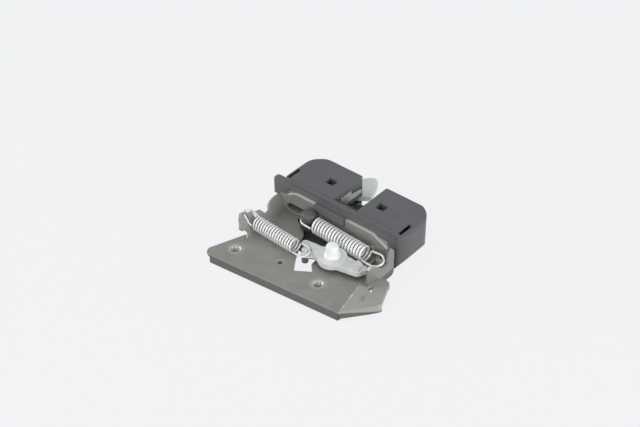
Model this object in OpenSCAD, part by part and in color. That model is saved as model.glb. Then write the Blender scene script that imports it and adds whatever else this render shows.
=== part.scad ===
// Rotary latch for a folding seat backrest: a pressed steel bracket that carries a lever and two
// extension springs, and a moulded housing with a throat that takes the striker wire.
// X runs along the upright wall, Y from the bracket towards the striker, Z up.
// The origin is on the bracket's upper face, midway between the two threaded holes.

/* [Bracket] */
// Thickness of the bracket's steel sheet
sheet_t = 3; // [2:0.25:4]
// Depth of the stiffening rim, from the upper face to the bottom of the rim
rim_depth = 9; // [7:0.5:12]
// Distance between the two threaded holes
hole_pitch = 79.5; // [72:0.5:84]
// Angle between the line of threaded holes and the upright wall, degrees
hole_skew = 7.4; // [4:0.1:10]
// Distance from the origin to the upright wall's near face
wall_y = 61.4; // [60:0.2:74]
// Height of the upright wall above the bracket's upper face
wall_h = 20; // [18:0.5:24]
// Lean of the left side flange from level, degrees
flange_lean = 52; // [45:1:60]
// Tilt of the right ear above level, degrees
ear_tilt = 8; // [0:1:12]
// Size across the flats of a weld nut
nut_flats = 13; // [12.5:0.5:16]
// Radius of a threaded hole at the crest of its thread
thread_r = 3.4; // [2.5:0.1:4.2]

/* [Housing] */
// Width of the housing across both lobes
housing_w = 129; // [121:1:150]
// Distance from the upright wall to the back of the lobes
housing_d = 49.6; // [48:0.2:60]
// Height of the housing's top above the bracket's upper face
housing_top = 28; // [26:0.5:34]
// Wall thickness of the mouldings
shell_t = 2.5; // [2:0.1:3]
// Width of the throat
throat_w = 25; // [23:0.5:28]
// Radius of the outer corners of the lobes, seen from above
lobe_r = 26; // [18:1:30]

/* [Claw and pawl] */
// Thickness of the claw and of the pawl
claw_t = 4.5; // [3.5:0.25:5]
// Turn of the claw from closed to open, degrees
claw_turn = 40; // [36:1:42]
// Diameter of the striker wire that the claw holds
striker_d = 9; // [8:0.25:9.5]
// Radius of the pivot shoulders that carry the claw and the pawl
shoulder_r = 5; // [4:0.25:6]
// Radial running clearance on the pivots
run_gap = 0.08; // [0.03:0.01:0.1]

/* [Lever and springs] */
// Radius of the lever's hub
hub_r = 12; // [10:0.25:12.5]
// Thickness of the lever's hub
hub_t = 5.5; // [4.5:0.25:6.5]
// Outside diameter of the claw spring
claw_spring_od = 13.5; // [11:0.1:13.8]
// Wire diameter of the claw spring
claw_spring_wire = 1.9; // [1.3:0.1:2]
// Outside diameter of the lever spring
lever_spring_od = 11.3; // [9:0.1:11.5]
// Wire diameter of the lever spring
lever_spring_wire = 1.5; // [1:0.1:1.6]

/* [Hidden] */
$fn = 48;

steel = [0.53, 0.52, 0.50];
zinc = [0.74, 0.75, 0.75];
dark_plastic = [0.36, 0.36, 0.37];
black_plastic = [0.17, 0.17, 0.17];
white_plastic = [0.93, 0.94, 0.92];

gap = 0.3;
fit_gap = 0.05;
eps = 0.01;

// Where the threaded holes lie
hole_x = hole_pitch / 2 * cos(hole_skew);
hole_y = hole_pitch / 2 * sin(hole_skew);
nut_h = rim_depth - sheet_t;
collar_r = 5.2;
// Depth of the countersunk mouth over a thread
mouth_t = 0.4;

// The upright wall and the frame flange behind it
wall_left = -49;
wall_right = 64;
flange_y = wall_y + sheet_t;
flange_t = 2.5;
flange_h = wall_h - 2.5;
flange_back = flange_y + fit_gap + flange_t;
flange_x0 = -41.5;
flange_x1 = 62.5;
cut_end = wall_y - 3.2;
side_end = wall_y - 0.9;
side_lip = rim_depth - 0.8;

// Levels of the moving plates
claw_z = 2.5;
claw_top = claw_z + claw_t;
claw_spring_z = claw_top + 1.35;
spring_y = 25.1;
hook_r = (lever_spring_od - lever_spring_wire) / 2;
claw_loop_r = 7;
claw_loop_p = [62.6, wall_y - 12.2];
window_low = claw_z - 1;
window_high = claw_top + 1;

// The throat
throat_x = 14.5;
throat_l = throat_x - throat_w / 2;
throat_r = throat_x + throat_w / 2;
housing_y = flange_y + 2 * fit_gap;
back_y = wall_y + housing_d;
rivet_head_h = 2;
housing_low = -(sheet_t + rivet_head_h + shell_t + 1.5);
bevel_z = -sheet_t - 1;
front_r = 10;
// The right lobe's side slants in below this level
side_foot = 5.5;
side_slant = 10.5 / (side_foot - housing_low);
face_t = 2.4;
throat_end = flange_back + 2;
plate_end = throat_end + 4;

// Pivots
claw_p = [-25, wall_y + 22.6];
pawl_p = [37, wall_y + 35.6];
lever_p = [33, 31];
// The claw's post at rest, seen from the claw's pivot
post_rel = [14.5, -31];
post_p = claw_p + post_rel;

// Plates of the frame, and the linings turned up from the upper one
frame_inset = shell_t + 1.2;
frame_upper_z = claw_top + 5;
frame_upper_t = 2;
frame_upper_y = flange_back + 1.6;
lining_t = 2;
lining_high = 7.5;
lining_low = 3.8;
lining_start_y = plate_end + 7;
lining_step_y = plate_end + 20.5;
lining_end_y = plate_end + 34;
bore_r = shoulder_r + run_gap;
rivet_head_r = shoulder_r + 2;
rivet_neck_r = shoulder_r - 1.5;

// Rivets through the wall and the flange, and posts that hold the frame plates apart
rivet_places = [36, 50];
rivet_z = 5;
rivet_r = 2;
spacer_r = 3;
spacer_neck_r = 2.2;
spacer_places = [[-41.2, wall_y + 16.5], [64, wall_y + 12], [-41, wall_y + 31.5], [65.5, wall_y + 29]];

// The pull rod and the pins of the lever and the pawl that it joins
rod_r = 1.2;
rod_z = rod_r + 0.1;
rod_slack = 0.35;
rod_x = 57;
rod_window_h = 3.5;
rod_rise = claw_top - 0.4;
lever_arm = [rod_x, lever_p[1] + 2];
pawl_arm = [rod_x, pawl_p[1]];

function unit(v) = v / norm(v);
function heading(a) = [cos(a), sin(a)];
function arc_points(c, r, a0, a1, n) = [for (i = [0:n]) c + r * heading(a0 + (a1 - a0) * i / n)];

// A flat shape lifted to a level
module slab(z, t) {
    translate([0, 0, z]) linear_extrude(height = t) children();
}

// Two discs joined by straight sides that start a hair inside them, so that they cross them cleanly
module link(a, ra, b, rb) {
    tuck = 0.03;
    d = norm(b - a);
    base = atan2(b[1] - a[1], b[0] - a[0]);
    lean = acos((ra - rb) / d);
    ua = heading(base + lean);
    ub = heading(base - lean);
    translate(a) circle(r = ra);
    translate(b) circle(r = rb);
    polygon([a + (ra - tuck) * ua, b + (rb - tuck) * ua, b + (rb - tuck) * ub, a + (ra - tuck) * ub]);
}

// A strip of the given width along a straight line, its left edge on the line
module strip(a, b, w) {
    n = [-(b - a)[1], (b - a)[0]] / norm(b - a);
    polygon([a, b, b + w * n, a + w * n]);
}

// A tube of round wire along a list of points, closed at both ends
module wire(path, r, sides) {
    n = len(path);
    function tangent(i) = unit(path[min(i + 1, n - 1)] - path[max(i - 1, 0)]);
    function side_of(i, last) = unit(last - (last * tangent(i)) * tangent(i));
    function frames(i, last) =
        i == n ? [] : concat([side_of(i, last)], frames(i + 1, side_of(i, last)));
    first = cross(tangent(0), [0.31, 0.47, 0.83]);
    sides_u = frames(0, unit(first));
    pts = [for (i = [0:n - 1]) let (t = tangent(i), u = sides_u[i], v = cross(t, u))
           for (k = [0:sides - 1]) path[i] + r * (cos(360 * k / sides) * u + sin(360 * k / sides) * v)];
    rings = [for (i = [0:n - 2]) for (k = [0:sides - 1]) let (j = (k + 1) % sides)
             [i * sides + k, i * sides + j, (i + 1) * sides + j, (i + 1) * sides + k]];
    caps = [[for (k = [sides - 1:-1:0]) k], [for (k = [0:sides - 1]) (n - 1) * sides + k]];
    polyhedron(points = pts, faces = concat(rings, caps), convexity = 8);
}

// An extension spring along X from 0 to length, with a half loop at each end. The first loop rises
// by the given slope as it leaves the coil, and the last one has a radius of its own.
module extension_spring(length, od, wire_d, turns, loop_a, loop_b, far_r, slope) {
    r = (od - wire_d) / 2;
    steps = 14;
    path = concat(
        [[-wire_d, -r, slope * wire_d]],
        [for (a = [-90:20:90]) [-loop_a - r * cos(a), r * sin(a), slope * (loop_a + r * cos(a))]],
        [for (i = [0:turns * steps]) let (a = 90 - 360 * i / steps)
            [length * i / (turns * steps), r * sin(a), r * cos(a)]],
        [for (a = [90:-20:-90]) [length + loop_b + far_r * cos(a), far_r * sin(a), 0]],
        [[length + wire_d, -r, 0]]);
    wire(path, wire_d / 2, 6);
}

// Plan of the bracket's flat part
module bracket_plan() {
    polygon([[-52, -23.3], [72.9, -10], [65.4, 24], [72.5, 27], [72.5, side_end], [wall_right, flange_y],
             [-41, flange_y], [-41, 11], [-45, 14.5], [-56.7, -17.5], [-55.6, -21.5]]);
}

// The opening under the claw's post and the lever's arm
module bracket_cutout() {
    polygon(concat([[14.4, 4.9], [27, 13.5], [20.5, 20], [18, 40], [14, 48], [14, cut_end], [-26, cut_end],
                    [-24.6, cut_end - 2.7]], arc_points([-21, 36], 15, 58, 10, 5), [[5.5, 18]]));
}

// The left side flange, flat, with its foot on the X axis and Y as its height
module left_flange_flat() {
    polygon([[wall_y + 0.5, -1.45], [wall_y + 0.5, 16.2], [54.6, 16], [50, 15], [46.9, 13.3],
             [44.2, 9.5], [38.5, 8.6], [37.3, 11.4], [35.4, 14.3], [31.6, 15], [29.2, 16], [26.9, 17.4],
             [22.8, 18], [22.4, 19.7], [17.9, 21.1], [14.2, 17.8], [12.1, 13.5], [9.6, 10.4],
             [11.3, 7.4], [13.9, 7.6], [15.1, 4.2], [12.4, -1.45]]);
}

// The upright wall, seen from the front, with its sloping shoulders and its windows
module wall_profile() {
    difference() {
        polygon([[-39.5, -sheet_t], [wall_right, -sheet_t], [wall_right, wall_h - 7.5], [48.7, wall_h],
                 [-32.2, wall_h], [-44.7, wall_h - 6.6], [wall_left, wall_h - 6.4], [-41.5, 0]]);
        polygon([[-40, window_low], [-5, window_low], [-5, window_high], [-37, window_high],
                 [-42, window_high - 2]]);
        translate([rod_x - 2.5, 0]) square([5, rod_window_h]);
        for (x = rivet_places) translate([x, rivet_z]) circle(r = rivet_r + fit_gap);
    }
}

module bracket() {
    color(steel) union() {
        difference() {
            slab(-sheet_t, sheet_t) bracket_plan();
            slab(-sheet_t - 1, sheet_t + 2) bracket_cutout();
            for (s = [-1, 1]) translate([s * hole_x, s * hole_y, -sheet_t - 1])
                cylinder(r = collar_r + fit_gap, h = sheet_t + 2);
            translate([-0.6, 5.9, -sheet_t - 1]) cylinder(r = 2.5, h = sheet_t + 2);
            translate([lever_p[0], lever_p[1], -sheet_t - 1])
                cylinder(r = rivet_neck_r + fit_gap, h = sheet_t + 2);
        }
        // Rim turned down along the front edge
        slab(-rim_depth, rim_depth) strip([-51, -23.2], [72.5, -10], 2.6);
        slab(-rim_depth, rim_depth) strip([72.5, -10], [72.9, -7], 2.6);
        translate([0, flange_y, 0]) rotate([90, 0, 0]) slab(0, sheet_t) wall_profile();
        // Left side flange, leaning outwards, with the hooked tab for the lever spring
        translate([-40, 0, 0]) rotate([0, flange_lean - 90, 0]) translate([-sheet_t, 0, 0])
            rotate([90, 0, 90]) difference() {
                slab(0, sheet_t) left_flange_flat();
                // Notch and slot for the two legs of the lever spring's hook
                translate([spring_y + hook_r - 2.2, 10.2, -1]) cube([3.5, 9, sheet_t + 2]);
                translate([spring_y - hook_r - 1.3, 10.2, -1]) cube([3.5, 7.8, sheet_t + 2]);
            }
        translate([70, 0, 0]) rotate([90, 0, 90]) slab(0, 2.5) side_wall_profile();
        prong();
        ear();
    }
}

// The right side wall, with the notch in its top edge that the claw spring's far loop lies in
module side_wall_profile() {
    low = claw_spring_z - claw_spring_wire / 2 - 0.5;
    polygon([[28, -sheet_t], [46, -sheet_t], [49, -side_lip], [side_end - 2, -side_lip],
             [side_end, 2 - side_lip], [side_end, wall_h - 5], [side_end - 1.2, wall_h - 2],
             [side_end - 3.6, wall_h - 0.4], [claw_loop_p[1] + 3.4, low], [claw_loop_p[1] - 3.8, low],
             [40, 12], [34, 16.4], [30, 18], [28, 16.5]]);
}

// Prong inside the notch, with the nick that the far loop is hooked in
module prong() {
    reach = claw_loop_r - claw_spring_wire / 2 - 0.2;
    translate([claw_loop_p[0] + reach - 4.2, claw_loop_p[1] - 1.25, -sheet_t]) difference() {
        cube([5, 2.5, sheet_t + claw_spring_z + 2.6]);
        translate([4.2, -1, sheet_t + claw_spring_z - 1.2]) cube([2, 5, 2.4]);
    }
}

// The right ear: an inner panel turned up along a slanting crease, and an outer one turned up more
module ear() {
    fold_a = [72.2, -9];
    fold_b = [65, 24];
    second_a = [88, 8];
    second_b = [75, 39.5];
    folded(fold_a, fold_b, ear_tilt) {
        difference() {
            union() {
                slab(-sheet_t, sheet_t)
                    polygon([[72, -10], [88.3, 6.2], [75.6, 39.5], [73, 39.5], [72.3, 27], [64.6, 24.2],
                             [71.6, -8]]);
                slab(-7, 7) strip([72.6, -9.6], [88.6, 6.4], 2.6);
            }
            slab(-sheet_t - 1, sheet_t + 2) polygon([[74, 25], [79.6, 22.4], [76.4, 30.4]]);
        }
        folded(second_a, second_b, 3) {
            slab(-sheet_t, sheet_t)
                polygon([[88, 6], [94.5, 12.4], [95.2, 15], [89.4, 28.6], [88.2, 31], [86.6, 36.4],
                         [84.4, 39.4], [80.5, 41], [76.6, 41], [75, 39]]);
            slab(-7, 7) strip([88, 5.8], [94.5, 12.4], 2.6);
            slab(-7, 7) strip([94.5, 12.4], [95.2, 15], 2.6);
        }
    }
}

// Turns what follows up about a line on the upper face
module folded(a, b, angle) {
    along = atan2(b[1] - a[1], b[0] - a[0]);
    translate([a[0], a[1], 0]) rotate([0, 0, along]) rotate([-angle, 0, 0]) rotate([0, 0, -along])
        translate([-a[0], -a[1], 0]) children();
}

module weld_nut(s) {
    color(zinc) translate([s * hole_x, s * hole_y, 0]) rotate([0, 0, hole_skew]) difference() {
        union() {
            translate([0, 0, -rim_depth]) cylinder(r = nut_flats / 2 / cos(30), h = nut_h, $fn = 6);
            translate([0, 0, -sheet_t - eps]) cylinder(r = collar_r, h = sheet_t + eps);
        }
        translate([0, 0, -rim_depth - 1]) cylinder(r = thread_r, h = rim_depth + 2);
        translate([0, 0, -mouth_t]) cylinder(r1 = thread_r, r2 = thread_r + 0.9, h = mouth_t + eps);
    }
}

module weld_nut_left() { weld_nut(-1); }
module weld_nut_right() { weld_nut(1); }

// Plan of one frame plate, with the throat cut out of it clear of the housing's walls
module frame_plan(front) {
    clear = shell_t + gap;
    difference() {
        intersection() {
            housing_plan(frame_inset);
            translate([throat_x - housing_w, front]) square([2 * housing_w, back_y - 4 - front]);
        }
        translate([throat_l - clear, plate_end]) square([throat_w + 2 * clear, housing_d]);
    }
}

module frame_lower() {
    y0 = flange_y + fit_gap;
    color(steel) difference() {
        union() {
            slab(-sheet_t, sheet_t - 0.2) intersection() {
                frame_plan(flange_back + gap);
                translate([throat_x - housing_w, 0])
                    square([housing_w + bevel_x(-sheet_t, shell_t + gap), back_y]);
            }
            translate([flange_x0, y0, -sheet_t])
                cube([flange_x1 - flange_x0, flange_t + 2.5, sheet_t - 0.2]);
            translate([flange_x0, y0, -sheet_t])
                cube([flange_x1 - flange_x0, flange_t, flange_h + sheet_t]);
        }
        translate([-43, flange_y - 1, window_low]) cube([38, flange_t + 2, window_high - window_low]);
        translate([rod_x - 2.5, flange_y - 1, -0.2]) cube([5, flange_t + 2, rod_window_h + 0.2]);
        for (p = [claw_p, pawl_p]) translate([p[0], p[1], -sheet_t - 1])
            cylinder(r = rivet_neck_r + fit_gap, h = sheet_t + 2);
        for (x = rivet_places) translate([x, flange_back + 1, rivet_z]) rotate([90, 0, 0])
            cylinder(r = rivet_r + fit_gap, h = flange_t + 2);
    }
}

// A steel lining turned up along one side of the throat, with a step and a falling end
module lining(x, start, high) {
    top = frame_upper_z + frame_upper_t;
    translate([x, 0, 0]) rotate([90, 0, 90]) slab(0, lining_t)
        polygon([[start, frame_upper_z], [start, top + high], [lining_step_y, top + high],
                 [lining_step_y + 1, top + lining_low], [lining_end_y, top + lining_low - 2],
                 [lining_end_y, frame_upper_z]]);
}

module frame_upper() {
    bent = shell_t + gap;
    color(zinc) difference() {
        union() {
            slab(frame_upper_z, frame_upper_t) frame_plan(frame_upper_y);
            // The plate runs on to the linings as far as they go
            for (x = [throat_l - bent - eps, throat_r]) translate([x, plate_end - 1, frame_upper_z])
                cube([bent + eps, lining_end_y - plate_end + 0.5, frame_upper_t]);
            lining(throat_l - lining_t, lining_start_y, lining_high);
            lining(throat_r, plate_end - 0.5, lining_low);
        }
        for (p = [claw_p, pawl_p]) translate([p[0], p[1], frame_upper_z - 1])
            cylinder(r = rivet_neck_r + fit_gap, h = frame_upper_t + 2);
        for (p = spacer_places) translate([p[0], p[1], frame_upper_z - 1])
            cylinder(r = spacer_neck_r + fit_gap, h = frame_upper_t + 2);
    }
}

module frame_spacers() {
    color(zinc) for (p = spacer_places) translate([p[0], p[1], 0]) {
        translate([0, 0, -0.2 + fit_gap]) cylinder(r = spacer_r, h = frame_upper_z + 0.2 - 2 * fit_gap);
        translate([0, 0, frame_upper_z - 1]) cylinder(r = spacer_neck_r, h = frame_upper_t + 1.8);
    }
}

module frame_rivets() {
    head_r = rivet_r + 1.4;
    head_h = 1.2;
    color(zinc) for (x = rivet_places) translate([x, wall_y - head_h, rivet_z]) rotate([-90, 0, 0]) {
        translate([0, 0, -fit_gap]) cylinder(r = head_r, h = head_h);
        cylinder(r = rivet_r, h = flange_back - wall_y + 2 * head_h);
        translate([0, 0, flange_back - wall_y + head_h + fit_gap]) cylinder(r = head_r, h = head_h);
    }
}

// Plan of the housing, drawn in by an inset on every side
module housing_plan(inset) {
    half = housing_w / 2 - inset;
    r = lobe_r - inset;
    fr = front_r - inset;
    back = back_y - inset;
    translate([throat_x, 0]) for (s = [0, 1]) mirror([s, 0])
        polygon(concat([[-eps, housing_y + inset]],
                       arc_points([half - fr, housing_y + front_r], fr, -90, 0, 10),
                       arc_points([half - r, back - r], r, 0, 90, 24), [[-eps, back]]));
}

// How far right of the throat's middle the slanted side lies at a level, drawn in by an inset
function bevel_x(z, inset) = housing_w / 2 - (side_foot - z) * side_slant - inset * norm([1, side_slant]);

// The throat's own outline, widened by the wall where the inside is cut
module throat_plan(grow) {
    w = throat_w + 2 * grow;
    y0 = throat_end - grow;
    mouth_r = 4.5;
    translate([throat_x - w / 2, y0]) square([w, back_y - y0 + 1]);
    for (s = [-1, 1]) difference() {
        translate([throat_x + s * (w / 2 + mouth_r / 2) - mouth_r / 2 - 0.2, back_y - mouth_r])
            square([mouth_r + 0.4, mouth_r + 2]);
        translate([throat_x + s * (w / 2 + mouth_r), back_y - mouth_r]) circle(r = mouth_r);
    }
}

// Front profile: rounded top edges, and sloping lower edges of which the right one is the larger
module front_profile(inset) {
    half = housing_w / 2 - inset;
    top = housing_top - inset;
    low = housing_low + inset;
    r = 5 - inset;
    translate([throat_x, 0])
        polygon(concat([[-half, bevel_z], [-half + 5, low], [bevel_x(low, inset), low],
                        [half, side_foot + inset * (norm([1, side_slant]) - 1) / side_slant]],
                       arc_points([half - r, top - r], r, 0, 90, 8),
                       arc_points([-half + r, top - r], r, 90, 180, 8)));
}

// Side profile: rounded upper back edge and a floor that rises a little to the back, drawn in by an inset
module side_profile(inset) {
    top = housing_top - inset;
    back = back_y - inset;
    front = housing_y - 1;
    r = 4;
    polygon(concat([[front, housing_low + inset], [housing_y + 24, housing_low + inset],
                    [back, housing_low + inset + 1.3], [back, top - r]],
                   arc_points([back - r, top - r], r, 0, 90, 8), [[front, top]]));
}

// The whole housing as one solid, drawn in by an inset
module housing_body(inset) {
    intersection() {
        slab(housing_low - 1, housing_top - housing_low + 2) difference() {
            housing_plan(inset);
            throat_plan(inset);
        }
        translate([0, back_y + 10, 0]) rotate([90, 0, 0]) slab(0, housing_d + 30) front_profile(inset);
        translate([throat_x - housing_w, 0, 0]) rotate([90, 0, 90])
            slab(0, 2 * housing_w) side_profile(inset);
    }
}

// The hollow housing with its closed front face, open where the frame's flange and plates pass
module housing_shell() {
    clear = shell_t + 2 * gap;
    difference() {
        housing_body(0);
        intersection() {
            housing_body(shell_t);
            translate([throat_x - housing_w, housing_y + face_t, housing_low - 1])
                cube([2 * housing_w, housing_d, housing_top - housing_low]);
        }
        translate([flange_x0 - gap, housing_y - 1, -sheet_t - gap])
            cube([flange_x1 - flange_x0 + 2 * gap, flange_t + 1.5, flange_h + sheet_t + 2 * gap]);
        for (z = [[-sheet_t, sheet_t], [frame_upper_z, frame_upper_t]])
            translate([throat_l - clear, housing_y + face_t - 1, z[0] - gap])
                cube([throat_w + 2 * clear, plate_end + gap - housing_y - face_t + 1, z[1] + 2 * gap]);
    }
}

clip_windows = [[-13.6, wall_y + 24.8], [39.2, wall_y + 24.8]];
clip_window = [8.8, 7.8];
edge_slots = [[throat_x - housing_w / 2 + 4.8, wall_y + 6.4],
              [throat_x + housing_w / 2 - 7.8, wall_y + 6.4]];
edge_slot = [3.6, 15];
strap_t = 1.5;

// Space that the claw and the pawl sweep through the housing's walls
module sweep_slot() {
    translate([throat_x - 43, flange_back - 1, window_low])
        cube([81, housing_d + 20, window_high - window_low]);
}

// Openings in the throat's walls for the linings
module lining_windows() {
    for (side = [[throat_l - shell_t - 1, lining_high], [throat_r - 1, lining_low]]) {
        translate([side[0], throat_end - shell_t, frame_upper_z - gap])
            cube([shell_t + 2, lining_step_y - throat_end + shell_t, frame_upper_t + side[1] + 2 * gap]);
        translate([side[0], throat_end - shell_t, frame_upper_z - gap])
            cube([shell_t + 2, lining_end_y - throat_end + shell_t, frame_upper_t + lining_low + 2 * gap]);
    }
}

// Ridge along the front edge of the top, which turns down beside the upright wall's right end
module front_ridge() {
    right = throat_x + housing_w / 2 - front_r + 0.6;
    r = 8;
    w = 1.4;
    top = housing_top + 1;
    translate([0, housing_y + face_t, 0]) rotate([90, 0, 0]) slab(0, face_t + 0.4)
        polygon(concat([[-40, top - 2], [-40, top]], arc_points([right - r, top - r], r, 90, 0, 8),
                       [[right, 4], [right - w, 4]], arc_points([right - r, top - r], r - w, 0, 90, 8),
                       [[right - r - 3, top - 2]]));
}

// Pocket under a window in the top, with a snap tongue as its floor
module clip_pocket(p) {
    wall = 1.2;
    size = [clip_window[0] + 2 * wall, clip_window[1] + 2 * wall];
    floor_z = housing_top - shell_t - 2.6;
    translate([p[0], p[1], 0]) difference() {
        translate([-size[0] / 2, -size[1] / 2, floor_z - wall])
            cube([size[0], size[1], wall + 2.6 + eps]);
        translate([-clip_window[0] / 2, -clip_window[1] / 2, floor_z])
            cube([clip_window[0], clip_window[1], 4]);
        translate([-clip_window[0] / 2, -clip_window[1] / 2, floor_z - wall - 1])
            cube([2, clip_window[1], 4]);
    }
}

// Clip that hooks over the upright wall
module strap() {
    y0 = wall_y - gap - strap_t;
    translate([-10, y0, wall_h + gap]) cube([31, housing_y + 1 - y0, strap_t]);
    translate([-10, y0, wall_h - 6.5]) cube([31, strap_t, 6.5 + gap + eps]);
}

module housing_upper() {
    left = throat_x - housing_w / 2;
    color(dark_plastic) difference() {
        union() {
            difference() {
                housing_shell();
                translate([throat_x - housing_w, housing_y - 2, housing_low - 2])
                    cube([2 * housing_w, housing_d + 10, -housing_low + 2]);
            }
            front_ridge();
            // Ear at the left end
            translate([0, housing_y + face_t, 0]) rotate([90, 0, 0]) slab(0, face_t)
                polygon([[left - 8, 8], [flange_x0 - gap, 8.5], [flange_x0 - gap, flange_h + gap],
                         [left + 13, flange_h + gap], [left + 13, 26], [left + 3, 27.3], [left - 3, 27.3],
                         [left - 6, 26.4], [left - 7.7, 24.4], [left - 8.2, 22]]);
            strap();
            for (p = clip_windows) clip_pocket(p);
        }
        for (p = clip_windows) translate([p[0], p[1], housing_top])
            cube([clip_window[0], clip_window[1], 7], center = true);
        for (p = edge_slots) translate([p[0], p[1] + edge_slot[1] / 2, housing_top])
            cube([edge_slot[0], edge_slot[1], 2 * shell_t + 4], center = true);
        sweep_slot();
        lining_windows();
    }
}

module housing_lower() {
    tongue_front = wall_y - 27;
    color(dark_plastic) union() {
        difference() {
            housing_shell();
            translate([throat_x - housing_w, housing_y - 2, -fit_gap])
                cube([2 * housing_w, housing_d + 10, housing_top + 10]);
        }
        // Tongue that runs forward under the bracket
        translate([-30, tongue_front, housing_low]) cube([96, housing_y + 1 - tongue_front, shell_t]);
    }
}

module throat_buffer() {
    w = throat_w - 2;
    z0 = frame_upper_z + frame_upper_t + fit_gap;
    h = housing_top - z0 - 2;
    rib_r = 1.2;
    ribs = 5;
    color(black_plastic) translate([throat_x - w / 2, throat_end + fit_gap, z0]) {
        cube([w, 3.4, h]);
        for (i = [0:ribs - 1]) translate([(i + 0.5) * w / ribs, 3.4, 0]) cylinder(r = rib_r, h = h);
    }
}

// The claw about its pivot, in the closed position
module claw_closed() {
    seat_r = striker_d / 2 + 1.2;
    seat = [31, -5];
    difference() {
        union() {
            slab(claw_z, claw_t) circle(r = 13);
            // Jaw that closes across the throat behind the striker
            slab(claw_z, claw_t)
                polygon([[-4, 12.1], [12, 17], [30, 23.5], [44, 27.3], [48, 26.3], [50.3, 21.5],
                         [48.5, 11.4], [43.6, 0.7], [20, -6], [2, -9]]);
            // Finger that the striker pushes
            slab(claw_z, claw_t)
                polygon([[0, 6], [30, 1], [47.5, -10.7], [46.6, -16.6], [14, -16.6], [4, -12]]);
            // Arm that carries the post
            slab(claw_z, claw_t) rotate(-claw_turn) link([0, 0], 10, post_rel, 7);
        }
        slab(claw_z - 1, claw_t + 2) translate(seat) circle(r = seat_r);
        slab(claw_z - 1, claw_t + 2) translate(seat - [0, seat_r]) square([30, 2 * seat_r]);
    }
}

module claw() {
    color(zinc) difference() {
        translate([claw_p[0], claw_p[1], 0]) rotate([0, 0, claw_turn]) claw_closed();
        translate([claw_p[0], claw_p[1], claw_z - 1]) cylinder(r = bore_r, h = claw_t + 2);
        translate([post_p[0], post_p[1], claw_z - 1]) cylinder(r = 3 + fit_gap, h = claw_t + 2);
    }
}

// A shouldered pivot riveted into both frame plates
module pivot_rivet(p) {
    neck_h = frame_upper_z + frame_upper_t + sheet_t;
    color(zinc) translate([p[0], p[1], 0]) {
        translate([0, 0, -sheet_t - rivet_head_h - fit_gap]) cylinder(r = rivet_head_r, h = rivet_head_h);
        translate([0, 0, -sheet_t - 1]) cylinder(r = rivet_neck_r, h = neck_h + 2);
        translate([0, 0, -0.2 + fit_gap]) cylinder(r = rivet_head_r, h = claw_z - gap + 0.2 - fit_gap);
        translate([0, 0, claw_z - gap - 1]) cylinder(r = shoulder_r, h = claw_t + 2 * gap + 2);
        translate([0, 0, claw_top + gap])
            cylinder(r = rivet_head_r, h = frame_upper_z - claw_top - gap - fit_gap);
        translate([0, 0, frame_upper_z + frame_upper_t + fit_gap])
            cylinder(r = rivet_head_r - 1.5, h = rivet_head_h);
    }
}

module claw_rivet() { pivot_rivet(claw_p); }
module pawl_rivet() { pivot_rivet(pawl_p); }

module claw_post() {
    color(zinc) translate([post_p[0], post_p[1], 0]) {
        translate([0, 0, claw_z - 0.8 - fit_gap]) cylinder(r = 5, h = 0.8);
        translate([0, 0, claw_z - 0.5]) cylinder(r = 3, h = claw_t + 0.5);
        translate([0, 0, claw_top - 1]) cylinder(r = 2.5, h = 8.4);
    }
}

module claw_post_bush() {
    color(black_plastic) translate([post_p[0], post_p[1], 0]) difference() {
        translate([0, 0, claw_top + fit_gap]) rotate_extrude()
            polygon([[0, 0], [4.6, 0], [4.6, 2.6], [6.3, 3.4], [6.3, 8.2], [5.4, 9.6], [3.4, 10.3],
                     [0, 10.5]]);
        translate([0, 0, claw_top - 1]) cylinder(r = 2.5 + fit_gap, h = 8.5);
    }
}

// A spring laid from one anchor to the other at a level
module spring_between(from, to, z, od, wire_d, turns, loop_a, loop_b, far_r, slope) {
    run = to - from;
    color(zinc) translate([from[0], from[1], z]) rotate([0, 0, atan2(run[1], run[0])])
        translate([loop_a, 0, 0])
            extension_spring(norm(run) - loop_a - loop_b, od, wire_d, turns, loop_a, loop_b, far_r, slope);
}

module claw_spring() {
    spring_between([post_p[0] + 0.2, post_p[1]], claw_loop_p, claw_spring_z, claw_spring_od,
                   claw_spring_wire, 18, 8.6, 10, claw_loop_r, 0);
}

// Turn of the pawl from the engaged position to where it rides clear of the claw
pawl_lift = 9.6;

module pawl() {
    color(steel) difference() {
        translate([pawl_p[0], pawl_p[1], 0]) union() {
            slab(claw_z, claw_t) circle(r = 9);
            slab(claw_z, claw_t) rotate(pawl_lift)
                polygon([[-17.1, -22.4], [-15.4, -17.4], [-7.6, -3.5], [2, -4], [8, -3], [-5, -23.6]]);
            slab(claw_z, claw_t) link([0, 0], 6, pawl_arm - pawl_p, 4.6);
        }
        translate([pawl_p[0], pawl_p[1], claw_z - 1]) cylinder(r = bore_r, h = claw_t + 2);
        translate([pawl_arm[0], pawl_arm[1], claw_z - 1]) cylinder(r = rod_r + rod_slack, h = claw_t + 2);
    }
}

module pull_rod() {
    color(zinc) union() {
        translate([rod_x, lever_arm[1], rod_z]) rotate([-90, 0, 0])
            cylinder(r = rod_r, h = pawl_arm[1] - lever_arm[1], $fn = 24);
        for (p = [lever_arm, pawl_arm]) translate([p[0], p[1], rod_z]) {
            cylinder(r = rod_r, h = rod_rise - rod_z, $fn = 24);
            sphere(r = rod_r, $fn = 24);
        }
    }
}

lever_z = 3;
arm_t = 2.3;
hook_p = [12.2, 21.8];
lever_spring_z = lever_z + 3.9;

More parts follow.
